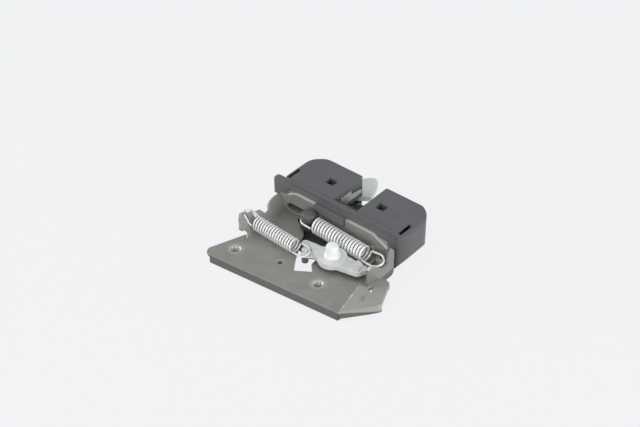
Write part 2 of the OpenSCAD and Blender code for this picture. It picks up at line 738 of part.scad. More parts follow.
module release_lever() {
    color(zinc) difference() {
        union() {
            slab(lever_z, hub_t) translate(lever_p) circle(r = hub_r);
            slab(lever_z, hub_t - 1) link(lever_p, hub_r - 3, lever_arm, 6);
            // Stepped block at the right end, over the pull rod's pin
            slab(lever_z, hub_t + 0.6)
                polygon([[51.4, 27.6], [57.6, 27.2], [60.2, 30.6], [58.6, 38.2], [52.4, 40]]);
            slab(lever_z, hub_t - 0.6)
                polygon([[57, 27.6], [61.8, 30], [64.4, 35.4], [62, 39], [57, 38.4]]);
            // Raised shoulder at the left of the hub, over the two thin arms
            slab(lever_z, hub_t) polygon([[25, 22], [19, 24.5], [15.6, 27.6], [11, 28.6], [10.2, 30.6],
                                     [13.6, 32.6], [17.8, 33.6], [26, 40]]);
            slab(lever_z, arm_t) link(lever_p, 8, [12, 32.4], 5);
            slab(lever_z, arm_t) link([12, 32.4], 5, [3.4, 33], 3.2);
            slab(lever_z, arm_t) link([19, 28], 5, hook_p, 3.4);
            translate([hook_p[0], hook_p[1], 0.4 - sheet_t]) cylinder(r = 2.8, h = lever_z + sheet_t);
            translate([hook_p[0], hook_p[1], lever_z]) cylinder(r = 2.1, h = 7);
            translate([hook_p[0], hook_p[1], lever_z + 5.2]) cylinder(r1 = 2.1, r2 = 2.9, h = 1.8);
        }
        translate([lever_p[0], lever_p[1], lever_z - 1]) cylinder(r = bore_r, h = hub_t + 2);
        translate([lever_arm[0], lever_arm[1], lever_z - 1])
            cylinder(r = rod_r + rod_slack, h = rod_rise + gap - lever_z + 1);
    }
}

module lever_rivet() {
    color(zinc) translate([lever_p[0], lever_p[1], 0]) {
        translate([0, 0, -sheet_t - rivet_head_h - fit_gap])
            cylinder(r = rivet_head_r - 1, h = rivet_head_h);
        translate([0, 0, -sheet_t - 1]) cylinder(r = rivet_neck_r, h = sheet_t + 2);
        translate([0, 0, fit_gap]) cylinder(r = rivet_head_r, h = lever_z - gap - fit_gap);
        translate([0, 0, lever_z - gap - 1]) cylinder(r = shoulder_r, h = hub_t + gap + 1);
    }
}

// White moulded cap that stands on the lever's hub, hollowed over the end of the pivot
module lever_cap() {
    color(white_plastic) translate([lever_p[0], lever_p[1], lever_z + hub_t + fit_gap]) difference() {
        rotate_extrude()
            polygon([[0, 0], [6.7, 0], [6.7, 1.4], [5.5, 2.6], [5.1, 10], [4.4, 11.2], [0, 11.6]]);
        translate([0, 0, -1]) cylinder(r = shoulder_r + gap, h = 1.4);
    }
}

module lever_spring() {
    spring_between([-50.4, spring_y], [hook_p[0] - 1.8, hook_p[1] + 0.15], lever_spring_z,
                   lever_spring_od, lever_spring_wire, 16, 8.4, 8.6, hook_r, 0.42);
}

bracket();
weld_nut_left();
weld_nut_right();
frame_lower();
frame_upper();
frame_rivets();
housing_lower();
housing_upper();
throat_buffer();
claw();
claw_rivet();
claw_post();
claw_post_bush();
claw_spring();
pawl();
pawl_rivet();
pull_rod();
release_lever();
lever_rivet();
lever_cap();
lever_spring();
frame_spacers();
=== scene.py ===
import math
import bpy
import bmesh
from mathutils import Matrix, Vector


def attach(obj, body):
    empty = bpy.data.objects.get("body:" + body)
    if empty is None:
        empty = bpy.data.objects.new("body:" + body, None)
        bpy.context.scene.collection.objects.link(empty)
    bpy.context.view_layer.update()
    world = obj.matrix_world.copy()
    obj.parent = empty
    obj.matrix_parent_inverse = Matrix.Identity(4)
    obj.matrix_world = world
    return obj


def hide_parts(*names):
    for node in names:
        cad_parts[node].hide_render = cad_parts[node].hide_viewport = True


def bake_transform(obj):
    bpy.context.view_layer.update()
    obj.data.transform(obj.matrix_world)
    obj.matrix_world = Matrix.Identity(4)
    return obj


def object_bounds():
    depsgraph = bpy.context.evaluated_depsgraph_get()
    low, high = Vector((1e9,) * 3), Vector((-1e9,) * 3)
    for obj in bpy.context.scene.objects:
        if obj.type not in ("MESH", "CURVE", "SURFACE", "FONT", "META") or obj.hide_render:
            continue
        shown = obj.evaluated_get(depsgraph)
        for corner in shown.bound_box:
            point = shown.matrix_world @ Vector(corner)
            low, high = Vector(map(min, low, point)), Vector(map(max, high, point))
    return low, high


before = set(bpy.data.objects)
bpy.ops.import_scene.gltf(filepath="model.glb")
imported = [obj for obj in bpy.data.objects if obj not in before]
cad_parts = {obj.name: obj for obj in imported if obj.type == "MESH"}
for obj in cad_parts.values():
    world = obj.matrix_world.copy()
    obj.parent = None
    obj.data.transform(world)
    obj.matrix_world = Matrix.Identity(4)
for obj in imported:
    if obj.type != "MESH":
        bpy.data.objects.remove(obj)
cad_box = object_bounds()

# View
# The latch is seen from its front right, well above, through a long lens, as it lies on a white sheet.
# The view transform stays plain so that a colour shows about as it is written.
MM = 0.001
VIEW_AZIMUTH = math.radians(40)
VIEW_ELEVATION = math.radians(38.6)
VIEW_AIM = Vector((-6.58, 62.97, 11.86)) * MM
VIEW_DISTANCE = 1100 * MM
VIEW_LENS = 75
SENSOR_WIDTH = 36
VIEW_FAR_END = 20

scene = bpy.context.scene
scene.view_settings.view_transform = "Standard"


def add(name, data):
    """Puts an object with this data into the scene."""
    made = bpy.data.objects.new(name, data)
    scene.collection.objects.link(made)
    return made


camera_data = bpy.data.cameras.new("photo_camera")
camera_data.lens = VIEW_LENS
camera_data.sensor_width = SENSOR_WIDTH
camera_data.clip_end = VIEW_FAR_END
camera = add("photo_camera", camera_data)
right = Vector((math.cos(VIEW_AZIMUTH), math.sin(VIEW_AZIMUTH), 0))
level = Vector((math.sin(VIEW_AZIMUTH), -math.cos(VIEW_AZIMUTH), 0)) * math.cos(VIEW_ELEVATION)
back = level + Vector((0, 0, math.sin(VIEW_ELEVATION)))
turned = Matrix((right, back.cross(right), back)).transposed().to_4x4()
camera.matrix_world = Matrix.Translation(VIEW_AIM + VIEW_DISTANCE * back) @ turned
scene.camera = camera

# Studio
# A seamless sheet that shows plain white with a faint shadow on it, and throws a moderate light back up.
# Three low, broad lamps stand round it, to the left, the right and the front, under an even sky.
FLOOR_GAP = 0.2 * MM
FLOOR_SIZE = 6.0
FLOOR_COLOR = (0.40, 0.405, 0.41, 1)
SHEET_SHOWN = (0.97, 0.985, 0.995, 1)
SHADOW_KEPT = 0.15
SHOWN_RAYS = ("Is Camera Ray", "Is Glossy Ray", "Is Transmission Ray")
SKY_COLOR = (0.95, 0.97, 1.0, 1)
SKY_STRENGTH = 0.6
LAMP_AIM = Vector((0.01, 0.04, 0))
LAMPS = {"left_lamp": {"at": (-1.4, -0.3, 0.6), "across": 1.0, "watts": 8},
         "right_lamp": {"at": (1.4, 0.2, 0.35), "across": 0.8, "watts": 10.5},
         "front_lamp": {"at": (0.3, -1.4, 0.55), "across": 1.0, "watts": 8.5}}


def feed(tree, value, socket):
    """Links a socket to what another node puts out, or sets it to a plain value."""
    if isinstance(value, bpy.types.NodeSocket):
        tree.links.new(value, socket)
    else:
        socket.default_value = value


def node(tree, kind, feeds=None, **settings):
    """Adds a node with its settings, and feeds its inputs, which are given by name or by number."""
    made = tree.nodes.new(kind)
    for name, value in settings.items():
        setattr(made, name, value)
    for socket, value in (feeds or {}).items():
        feed(tree, value, made.inputs[socket])
    return made


def combine(tree, operation, result, *others):
    """Takes the values through one operation, each with the result so far."""
    for other in others:
        result = node(tree, "ShaderNodeMath", {0: result, 1: other}, operation=operation).outputs[0]
    return result


def sheet_material():
    """Matt paper for the light that falls on it, and a plain white where it is seen or mirrored."""
    mat = bpy.data.materials.new("studio_sheet")
    mat.use_nodes = True
    tree = mat.node_tree
    tree.nodes.clear()
    rays = node(tree, "ShaderNodeLightPath").outputs
    seen = combine(tree, "MAXIMUM", *(rays[label] for label in SHOWN_RAYS))
    matt = node(tree, "ShaderNodeBsdfDiffuse", {"Color": FLOOR_COLOR})
    glow = node(tree, "ShaderNodeEmission", {"Color": SHEET_SHOWN})
    whiteness = combine(tree, "MULTIPLY", seen, 1 - SHADOW_KEPT)
    mix = node(tree, "ShaderNodeMixShader", {0: whiteness, 1: matt.outputs[0], 2: glow.outputs[0]})
    node(tree, "ShaderNodeOutputMaterial", {"Surface": mix.outputs[0]})
    return mat


half = FLOOR_SIZE / 2
floor_z = cad_box[0][2] - FLOOR_GAP
corners = [(x * half, y * half, floor_z) for x, y in ((-1, -1), (1, -1), (1, 1), (-1, 1))]
sheet_mesh = bpy.data.meshes.new("studio_sheet")
sheet_mesh.from_pydata(corners, [], [(0, 1, 2, 3)])
sheet_mesh.materials.append(sheet_material())
sheet = add("studio_sheet", sheet_mesh)

for lamp_name, lamp in LAMPS.items():
    light = bpy.data.lights.new(lamp_name, "AREA")
    light.shape = "DISK"
    light.size = lamp["across"]
    light.energy = lamp["watts"]
    held = add(lamp_name, light)
    held.location = lamp["at"]
    held.rotation_euler = (LAMP_AIM - held.location).to_track_quat("-Z", "Y").to_euler()

world = bpy.data.worlds.new("studio")
world.use_nodes = True
sky = world.node_tree.nodes["Background"]
sky.inputs["Color"].default_value = SKY_COLOR
sky.inputs["Strength"].default_value = SKY_STRENGTH
scene.world = world

# Bracket
# Pressed steel sheet, zinc plated and dulled by handling: a grey face with fine scratches and specks, pale
# edges, a dished ring round each weld nut and a little rust by the ear. Painted shade darkens the front rim,
# painted light brightens the ear, a painted highlight runs along its crease, and the wall's top edge is pale
# as bare steel and as a painted highlight. Where a pair of millimetres bounds a zone of colour, the zone is
# absent at the first and full at the second.
BRACKET_GREY = (0.295, 0.286, 0.266, 1)
BRACKET_PALE = (0.55, 0.545, 0.52, 1)
SHEARED_STEEL_AND_HIGHLIGHT = (0.74, 0.73, 0.70, 1)
RIM_PAINTED_SHADE = (0.135, 0.138, 0.130, 1)
EAR_PAINTED_LIGHT = (0.40, 0.392, 0.365, 1)
RUST_BROWN = (0.21, 0.18, 0.11, 1)
SPECK_PALE = (0.8, 0.8, 0.78, 1)
RIM_Z = (-0.8, -2.2)
EAR_CREASE = ((72.2, -9.0), (65.0, 24.0))
EAR_PAST_CREASE = (0.2, 0.7)
EAR_OVER_RIM_Z = (-2.2, -0.8)
EAR_UNDER_WALL_Z = (5.0, 4.0)
EAR_BESIDE_WALL_X = (72.5, 72.8)
EAR_BEFORE_WALL_Y = (27.0, 26.0)
CREASE_SHINE = (1.6, 0.9)
CREASE_DULLEST = 0.12
WALL_TOP_Z = (11.5, 12.5)
WALL_TOP_X = (-41.0, -40.0)
WALL_TOP_AMOUNT = 0.9
HOLE_PITCH = 79.5
HOLE_ROW_TURN = math.radians(7.4)
HOLE_AT = Vector((math.cos(HOLE_ROW_TURN), math.sin(HOLE_ROW_TURN))) * HOLE_PITCH / 2
NUT_CENTRES = {"weld_nut_left": -HOLE_AT, "weld_nut_right": HOLE_AT}
NUT_DISH = {"inner": 5.6, "outer": 9.2}
DISH_AMOUNT = 0.22
DISH_RELIEF = {"Strength": 0.6, "Distance": 0.6 * MM}
PILOT_CENTRE = (-0.6, 5.9)
PILOT_BURR = {"inner": 2.6, "outer": 3.6, "ragged": 0.8}
BURR_AMOUNT = 0.5
RUST_STREAK = ((77.3, 14.4), (79.1, 12.2))
RUST_PATCH = {"inner": 0.0, "outer": 3.6, "ragged": 6.0}
RUST_AMOUNT = 0.55
BEVEL_SAMPLES = 6
WORN_BEND = (0.02, 0.22)
WORN_GRAIN = {"scale": 260, "detail": 4, "rough": 0.6}
WORN_GAPS = (0.30, 0.55)
SCRATCH_SETS = ((0.35, (40, 900, 300)), (-0.9, (30, 1100, 300)), (1.3, (50, 800, 300)))
SCRATCH_GRAIN = {"scale": 1.0, "detail": 2}
SCRATCH_WIDTH = (0.70, 0.76)
SCRATCH_GAP_GRAIN = {"scale": 45, "detail": 2}
SCRATCH_GAPS = (0.45, 0.62)
SPECK_CELLS = 330
SPECK_SIZE = (0.16, 0.06)
SPECK_GAP_GRAIN = {"scale": 190, "detail": 1}
SPECK_GAPS = (0.62, 0.68)
MOTTLE_GRAIN = {"scale": 70, "detail": 6, "rough": 0.62}
MOTTLE_TONES = (0.3, 0.72)
MOTTLE_DULLING = 0.3
NOISE_MIDDLE = 0.5
RAGGED_GRAIN = {"scale": 240, "detail": 5, "rough": 0.65}
GLINT_GRAIN = {"scale": 210, "detail": 2}
GLINT_SIZE = (0.5, 0.6)
FACING_UP = (0.35, 0.6)
STEEL_EDGE = 0.6 * MM
STEEL_SOFTNESS = 0.5 * MM
STEEL_RELIEF = {"Strength": 0.25, "Distance": 0.2 * MM}
MIX_FACTOR, MIX_A, MIX_B, MIX_RESULT = 0, 6, 7, 2


def new_tree(name, kind, inputs, outputs):
    """An empty node group, what its group input puts out and what its group output takes."""
    made = bpy.data.node_groups.new(name, kind)
    for in_out, sockets in (("INPUT", inputs), ("OUTPUT", outputs)):
        for label, socket_type in sockets.items():
            made.interface.new_socket(label, in_out=in_out, socket_type="NodeSocket" + socket_type)
    return made, node(made, "NodeGroupInput").outputs, node(made, "NodeGroupOutput").inputs


def ramp(tree, value, low, high):
    """0 at low, 1 at high, and smooth between."""
    made = node(tree, "ShaderNodeMapRange", interpolation_type="SMOOTHSTEP")
    for label, source in (("Value", value), ("From Min", low), ("From Max", high)):
        feed(tree, source, made.inputs[label])
    return made.outputs["Result"]


def fade(tree, value, limits):
    """A ramp between two limits in millimetres."""
    return ramp(tree, value, limits[0] * MM, limits[1] * MM)


def mix_color(tree, amount, a, b):
    """Colour a where the amount is 0 and colour b where it is 1."""
    feeds = {MIX_FACTOR: amount, MIX_A: a, MIX_B: b}
    return node(tree, "ShaderNodeMix", feeds, data_type="RGBA").outputs[MIX_RESULT]


def object_coords(tree):
    """The place of a point on the piece, in metres."""
    return node(tree, "ShaderNodeTexCoord").outputs["Object"]


def axes_of(tree, vector):
    """The three parts of a vector."""
    return node(tree, "ShaderNodeSeparateXYZ", {0: vector}).outputs


def noise(tree, at, scale, detail, rough=0.5):
    """A soft noise round its middle value."""
    feeds = {"Vector": at, "Scale": scale, "Detail": detail, "Roughness": rough}
    return node(tree, "ShaderNodeTexNoise", feeds).outputs["Fac"]


def softened_normal(tree, radius):
    """The surface's normal with its edges rounded over."""
    return node(tree, "ShaderNodeBevel", {"Radius": radius}, samples=BEVEL_SAMPLES).outputs["Normal"]


def worn_edge_group():
    """How far a point lies on an outer edge, from 0 to 1, broken up by noise."""
    inputs = {"Radius": "Float", "Amount": "Float"}
    tree, given, out = new_tree("worn_edge", "ShaderNodeTree", inputs, {"Mask": "Float"})
    soft = softened_normal(tree, given["Radius"])
    plain = node(tree, "ShaderNodeNewGeometry").outputs["Normal"]
    same = node(tree, "ShaderNodeVectorMath", {0: soft, 1: plain}, operation="DOT_PRODUCT").outputs["Value"]
    edge = ramp(tree, combine(tree, "SUBTRACT", 1.0, same), *WORN_BEND)
    patchy = ramp(tree, noise(tree, object_coords(tree), **WORN_GRAIN), *WORN_GAPS)
    feed(tree, combine(tree, "MULTIPLY", edge, patchy, given["Amount"]), out["Mask"])
    return tree


def scratch_group():
    """Masks of fine crossing scratches and of pin-head specks, from 0 to 1, and a soft mottle."""
    outputs = {"Scratch": "Float", "Speck": "Float", "Mottle": "Float"}
    tree, given, out = new_tree("scratches", "ShaderNodeTree", {"Scale": "Float"}, outputs)
    feeds = {0: object_coords(tree), "Scale": given["Scale"]}
    at = node(tree, "ShaderNodeVectorMath", feeds, operation="SCALE").outputs[0]
    lines = []
    for turn, stretch in SCRATCH_SETS:
        drawn = node(tree, "ShaderNodeMapping", {"Vector": at, "Scale": stretch, "Rotation": (0, 0, turn)})
        lines.append(ramp(tree, noise(tree, drawn.outputs[0], **SCRATCH_GRAIN), *SCRATCH_WIDTH))
    gaps = ramp(tree, noise(tree, at, **SCRATCH_GAP_GRAIN), *SCRATCH_GAPS)
    feed(tree, combine(tree, "MULTIPLY", combine(tree, "MAXIMUM", *lines), gaps), out["Scratch"])
    cells = node(tree, "ShaderNodeTexVoronoi", {"Vector": at, "Scale": SPECK_CELLS}).outputs["Distance"]
    dots = ramp(tree, cells, *SPECK_SIZE)
    rare = ramp(tree, noise(tree, at, **SPECK_GAP_GRAIN), *SPECK_GAPS)
    feed(tree, combine(tree, "MULTIPLY", dots, rare), out["Speck"])
    feed(tree, noise(tree, at, **MOTTLE_GRAIN), out["Mottle"])
    return tree


def round_patch_group():
    """1 inside a circle on the XY plane, falling to 0 at a second one, with a ragged border."""
    inputs = {"Centre": "Vector", "Inner": "Float", "Outer": "Float", "Raggedness": "Float"}
    tree, given, out = new_tree("round_patch", "ShaderNodeTree", inputs, {"Mask": "Float"})
    at = object_coords(tree)
    flat = node(tree, "ShaderNodeVectorMath", {0: at, 1: (1, 1, 0)}, operation="MULTIPLY").outputs[0]
    away = node(tree, "ShaderNodeVectorMath", {0: flat, 1: given["Centre"]}, operation="DISTANCE")
    wander = combine(tree, "SUBTRACT", noise(tree, at, **RAGGED_GRAIN), NOISE_MIDDLE)
    wander = combine(tree, "MULTIPLY", wander, given["Raggedness"])
    distance = combine(tree, "ADD", away.outputs["Value"], wander)
    outside = ramp(tree, distance, given["Inner"], given["Outer"])
    feed(tree, combine(tree, "SUBTRACT", 1.0, outside), out["Mask"])
    return tree


WORN_EDGE = worn_edge_group()
SCRATCHES = scratch_group()
ROUND_PATCH = round_patch_group()


def use(tree, shared, **feeds):
    """Places a shared node group in a material and returns what it puts out."""
    return node(tree, "ShaderNodeGroup", feeds, node_tree=shared).outputs


def patch(tree, centre, inner, outer, ragged=0.0):
    """A round patch, with its centre and sizes in millimetres."""
    at = (centre[0] * MM, centre[1] * MM, 0)
    made = use(tree, ROUND_PATCH, Centre=at, Inner=inner * MM, Outer=outer * MM, Raggedness=ragged * MM)
    return made["Mask"]


def blank(name):
    """A new material, its node tree and its shader's inputs."""
    mat = bpy.data.materials.new(name)
    mat.use_nodes = True
    tree = mat.node_tree
    return mat, tree, tree.nodes["Principled BSDF"].inputs


def tinted(color, by):
    """A colour made darker or brighter by a factor."""
    return tuple(by * c for c in color[:3]) + (1,)


def vary_roughness(tree, tone, rough, spread, shader):
    """Lets the roughness follow a noise, over a spread round its middle value."""
    dull = combine(tree, "MULTIPLY", tone, spread)
    feed(tree, combine(tree, "ADD", dull, rough - spread * NOISE_MIDDLE), shader["Roughness"])


def steel_material(name, face, pale, metal, rough, edge, scratch, scale=1.0, contrast=0.08):
    """Plated steel or a bare casting: mottled, with scratches, specks and edges that have gone pale."""
    mat, tree, shader = blank(name)
    wear = use(tree, SCRATCHES, Scale=scale)
    worn = use(tree, WORN_EDGE, Radius=STEEL_EDGE, Amount=edge)
    tone = ramp(tree, wear["Mottle"], *MOTTLE_TONES)
    color = mix_color(tree, tone, tinted(face, 1 - contrast), tinted(face, 1 + contrast))
    marks = combine(tree, "MAXIMUM", combine(tree, "MULTIPLY", wear["Scratch"], scratch), worn["Mask"])
    color = mix_color(tree, marks, color, pale)
    feed(tree, mix_color(tree, wear["Speck"], color, SPECK_PALE), shader["Base Color"])
    feed(tree, metal, shader["Metallic"])
    vary_roughness(tree, wear["Mottle"], rough, MOTTLE_DULLING, shader)
    height = combine(tree, "SUBTRACT", wear["Mottle"], wear["Scratch"])
    relief = {**STEEL_RELIEF, "Height": height, "Normal": softened_normal(tree, STEEL_SOFTNESS)}
    feed(tree, node(tree, "ShaderNodeBump", relief).outputs["Normal"], shader["Normal"])
    return mat


def shown(mat, label):
    """One input of a material's shader, and what feeds it now."""
    socket = mat.node_tree.nodes["Principled BSDF"].inputs[label]
    return socket, socket.links[0].from_socket


def lay_over(mat, mask, color):
    """Lays a colour over what a material shows, as far as the mask says."""
    socket, under = shown(mat, "Base Color")
    feed(mat.node_tree, mix_color(mat.node_tree, mask, under, color), socket)


def dress(name, mat):
    """Gives a CAD node its material."""
    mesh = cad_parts[name].data
    mesh.materials.clear()
    mesh.materials.append(mat)


def paint_ear_light(mat, x, y, z):
    """Painted light makes the ear brighter than the plate, and a painted highlight glints here and there
    along its crease.
    """
    tree = mat.node_tree
    a, b = (Vector(point) for point in EAR_CREASE)
    across = Vector((b.y - a.y, a.x - b.x)).normalized()
    along_normal = combine(tree, "ADD", combine(tree, "MULTIPLY", x, across.x),
                           combine(tree, "MULTIPLY", y, across.y))
    past = combine(tree, "SUBTRACT", along_normal, across.dot(a) * MM)
    off_wall = combine(tree, "MAXIMUM", fade(tree, x, EAR_BESIDE_WALL_X), fade(tree, y, EAR_BEFORE_WALL_Y))
    on_ear = combine(tree, "MULTIPLY", fade(tree, past, EAR_PAST_CREASE), fade(tree, z, EAR_UNDER_WALL_Z),
                     fade(tree, z, EAR_OVER_RIM_Z), off_wall)
    # Painted light: the ear is drawn brighter than the plate.
    lay_over(mat, on_ear, EAR_PAINTED_LIGHT)
    glint = ramp(tree, noise(tree, object_coords(tree), **GLINT_GRAIN), *GLINT_SIZE)
    glint = combine(tree, "MAXIMUM", glint, CREASE_DULLEST)
    # A painted highlight runs along the crease, broken up by noise.
    lay_over(mat, combine(tree, "MULTIPLY", on_ear, fade(tree, past, CREASE_SHINE), glint), SHEARED_STEEL_AND_HIGHLIGHT)


def bare_and_highlit_wall_top(mat, x, z):
    """The shear-cut edge along the wall's top is drawn pale: bare steel, and a painted highlight where it
    faces up.
    """
    tree = mat.node_tree
    normal = node(tree, "ShaderNodeNewGeometry").outputs["True Normal"]
    up = ramp(tree, axes_of(tree, normal)[2], *FACING_UP)
    sheared = combine(tree, "MULTIPLY", up, fade(tree, z, WALL_TOP_Z), fade(tree, x, WALL_TOP_X))
    # The pale top edge is bare steel and a painted highlight.
    lay_over(mat, combine(tree, "MULTIPLY", sheared, WALL_TOP_AMOUNT), SHEARED_STEEL_AND_HIGHLIGHT)


def bracket_material():
    """The bracket's steel, with all the zones of its colour, painted shade and painted light among them,
    laid over one another.
    """
    mat = steel_material("bracket_steel", face=BRACKET_GREY, pale=BRACKET_PALE, metal=0.3, rough=0.5,
                         edge=0.8, scratch=0.5)
    tree = mat.node_tree
    x, y, z = axes_of(tree, object_coords(tree))
    # Painted shade darkens the rim's front face.
    lay_over(mat, fade(tree, z, RIM_Z), RIM_PAINTED_SHADE)
    paint_ear_light(mat, x, y, z)
    bare_and_highlit_wall_top(mat, x, z)
    dish = combine(tree, "MAXIMUM", *(patch(tree, centre, **NUT_DISH) for centre in NUT_CENTRES.values()))
    burr = patch(tree, PILOT_CENTRE, **PILOT_BURR)
    lay_over(mat, combine(tree, "MAXIMUM", combine(tree, "MULTIPLY", dish, DISH_AMOUNT),
                          combine(tree, "MULTIPLY", burr, BURR_AMOUNT)), BRACKET_PALE)
    rust = combine(tree, "MAXIMUM", *(patch(tree, centre, **RUST_PATCH) for centre in RUST_STREAK))
    lay_over(mat, combine(tree, "MULTIPLY", rust, RUST_AMOUNT), RUST_BROWN)
    socket, normal = shown(mat, "Normal")
    dent = {**DISH_RELIEF, "Height": dish, "Normal": normal}
    feed(tree, node(tree, "ShaderNodeBump", dent, invert=True).outputs["Normal"], socket)
    return mat


dress("bracket", bracket_material())

# Weld nuts
# Two hexagon nuts are pressed through the bracket from below and projection welded. From above each
# shows as a bright dished ring round a clean M8 thread.
NUT_LOW = -9.0
NUT_COLLAR = ((0.0, 4.95), (-0.06, 5.2), (-3.0, 5.2))
NUT_HEXAGON = ((-3.0, 5.9), (-3.3, 6.5), (-8.6, 6.5), (NUT_LOW, 6.1))
NUT_LOW_MOUTH = (NUT_LOW, 4.0)
NUT_TOP_MOUTH = ((-0.72, 3.7), (-0.62, 4.1), (-0.4, 4.4), (-0.15, 4.7))
NUT_TURN = HOLE_ROW_TURN + math.radians(30)
NUT_SEGMENTS = 48
BORE_FIRST_Z = NUT_LOW + 0.55
BORE_STEP = 0.125
BORE_ROWS = 63
THREAD_CREST_R = 3.4
THREAD_DEPTH = 0.65
THREAD_PITCH = 1.25
THREAD_LOW = NUT_LOW + 0.5
THREAD_HIGH = -0.7
THREAD_RUNOUT = 0.8
CREST_MARGIN = 1.004
HALF_TURN = 0.5


def turned_mesh(name, rows, segments):
    """A closed ring of rows, each of a height and a radius or a hexagon's apothem, turned about Z."""
    made = bmesh.new()
    rings = []
    for z, r, is_hex in rows:
        ring = []
        for i in range(segments):
            a = 2 * math.pi * i / segments
            off = (a + math.pi / 6) % (math.pi / 3) - math.pi / 6
            reach = r / math.cos(off) if is_hex else r
            ring.append(made.verts.new((reach * math.cos(a) * MM, reach * math.sin(a) * MM, z * MM)))
        rings.append(ring)
    for j, ring in enumerate(rings):
        other = rings[(j + 1) % len(rings)]
        for i in range(segments):
            k = (i + 1) % segments
            made.faces.new((ring[i], ring[k], other[k], other[i]))
    bmesh.ops.recalc_face_normals(made, faces=made.faces)
    mesh = bpy.data.meshes.new(name)
    made.to_mesh(mesh)
    made.free()
    mesh.shade_smooth()
    return mesh


def moved_to(centre):
    """The way from the origin to a point of the plate, given in millimetres."""
    return Matrix.Translation((centre[0] * MM, centre[1] * MM, 0))


def end_tree(tree, shape, mat, out):
    """Makes a shape's instances real, sets its material and puts it out."""
    real = node(tree, "GeometryNodeRealizeInstances", {"Geometry": shape})
    coated = node(tree, "GeometryNodeSetMaterial", {"Geometry": real.outputs[0], "Material": mat})
    feed(tree, coated.outputs[0], out[0])


def thread_tree(mat):
    """Cuts a helical groove into the straight part of a bore that stands on the Z axis."""
    sizes = dict.fromkeys(("Crest Radius", "Depth", "Pitch", "Low", "High", "Runout"), "Float")
    tree, given, out = new_tree("cut_thread", "GeometryNodeTree", {"Blank": "Geometry", **sizes},
                                {"Tapped": "Geometry"})
    x, y, z = axes_of(tree, node(tree, "GeometryNodeInputPosition").outputs[0])
    flat = node(tree, "ShaderNodeCombineXYZ", {0: x, 1: y}).outputs[0]
    radius = node(tree, "ShaderNodeVectorMath", {0: flat}, operation="LENGTH").outputs["Value"]
    limit = combine(tree, "MULTIPLY", given["Crest Radius"], CREST_MARGIN)
    on_wall = combine(tree, "LESS_THAN", radius, limit)
    around = combine(tree, "DIVIDE", combine(tree, "ARCTAN2", y, x), 2 * math.pi)
    phase = combine(tree, "SUBTRACT", combine(tree, "DIVIDE", z, given["Pitch"]), around)
    wave = combine(tree, "DIVIDE", combine(tree, "PINGPONG", phase, HALF_TURN), HALF_TURN)
    starts = ramp(tree, z, given["Low"], combine(tree, "ADD", given["Low"], given["Runout"]))
    ends = ramp(tree, z, given["High"], combine(tree, "SUBTRACT", given["High"], given["Runout"]))
    depth = combine(tree, "MULTIPLY", wave, given["Depth"], starts, ends, on_wall)
    outward = node(tree, "ShaderNodeVectorMath", {0: flat}, operation="NORMALIZE").outputs[0]
    push = node(tree, "ShaderNodeVectorMath", {0: outward, "Scale": depth}, operation="SCALE").outputs[0]
    cut = node(tree, "GeometryNodeSetPosition", {"Geometry": given["Blank"], "Offset": push})
    end_tree(tree, cut.outputs[0], mat, out)
    return tree


def worked(source, tree, sizes, name, place=Matrix()):
    """Takes an object through a Geometry Nodes tree and leaves the result as a plain mesh, in its place."""
    modifier = source.modifiers.new(tree.name, "NODES")
    modifier.node_group = tree
    for socket in tree.interface.items_tree:
        if socket.name in sizes:
            modifier[socket.identifier] = sizes[socket.name]
    graph = bpy.context.evaluated_depsgraph_get()
    mesh = bpy.data.meshes.new_from_object(source.evaluated_get(graph))
    mesh.name = name
    mesh.transform(place)
    bpy.data.objects.remove(source)
    return add(name, mesh)


nut_steel = steel_material("nut_steel", face=(0.56, 0.55, 0.53, 1), pale=(0.7, 0.69, 0.67, 1), metal=0.6,
                           rough=0.36, edge=0.3, scratch=0.4, scale=1.4)
THREAD_TREE = thread_tree(nut_steel)
THREAD_SIZES = {"Crest Radius": THREAD_CREST_R * MM, "Depth": THREAD_DEPTH * MM, "Pitch": THREAD_PITCH * MM,
                "Low": THREAD_LOW * MM, "High": THREAD_HIGH * MM, "Runout": THREAD_RUNOUT * MM}


def make_nut(name, centre):
    """A nut that stands in its hole, from its collar down its hexagon and up its bore."""
    bore = [(BORE_FIRST_Z + BORE_STEP * i, THREAD_CREST_R) for i in range(BORE_ROWS)]
    rows = [(z, r, False) for z, r in NUT_COLLAR] + [(z, r, True) for z, r in NUT_HEXAGON]
    rows += [(z, r, False) for z, r in (NUT_LOW_MOUTH, *bore, *NUT_TOP_MOUTH)]
    source = add(name + "_blank", turned_mesh(name + "_blank", rows, NUT_SEGMENTS))
    place = moved_to(centre) @ Matrix.Rotation(NUT_TURN, 4, "Z")
    return worked(source, THREAD_TREE, THREAD_SIZES, name, place)


for node_name, centre in NUT_CENTRES.items():
    nut = make_nut("tapped_" + node_name, centre)
    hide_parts(node_name)
    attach(nut, "body")

# Pilot collar
# Pressing the pilot hole draws a short collar of the sheet's own steel down below it. Its near-black colour
# is painted shade inside the hole.
COLLAR_ROWS = ((-3.05, 2.55), (-5.2, 2.6), (-5.35, 2.8), (-5.2, 3.1), (-3.6, 3.4), (-3.05, 3.9))
COLLAR_SEGMENTS = 32

# The collar's near-black colour is painted shade.
collar_steel = steel_material("collar_steel", face=(0.06, 0.06, 0.058, 1), pale=(0.2, 0.2, 0.19, 1),
                              metal=0.2, rough=0.6, edge=0.3, scratch=0.2, scale=1.2)
collar_mesh = turned_mesh("pilot_collar", [(z, r, False) for z, r in COLLAR_ROWS], COLLAR_SEGMENTS)
collar_mesh.materials.append(collar_steel)
collar_mesh.transform(moved_to(PILOT_CENTRE))
collar = add("pilot_collar", collar_mesh)
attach(collar, "body")

# Frame and rivets
# Two zinc-plated steel plates hold the pivots apart inside the housing, with turned posts between them.
# The lower one's flange is riveted to the bracket's wall, the upper one's tabs line the throat, and the
# pawl is cut from a like plate.
TURNED_PIECES = ("frame_rivets", "frame_spacers", "claw_rivet", "pawl_rivet", "lever_rivet", "claw_post",
                 "pull_rod")

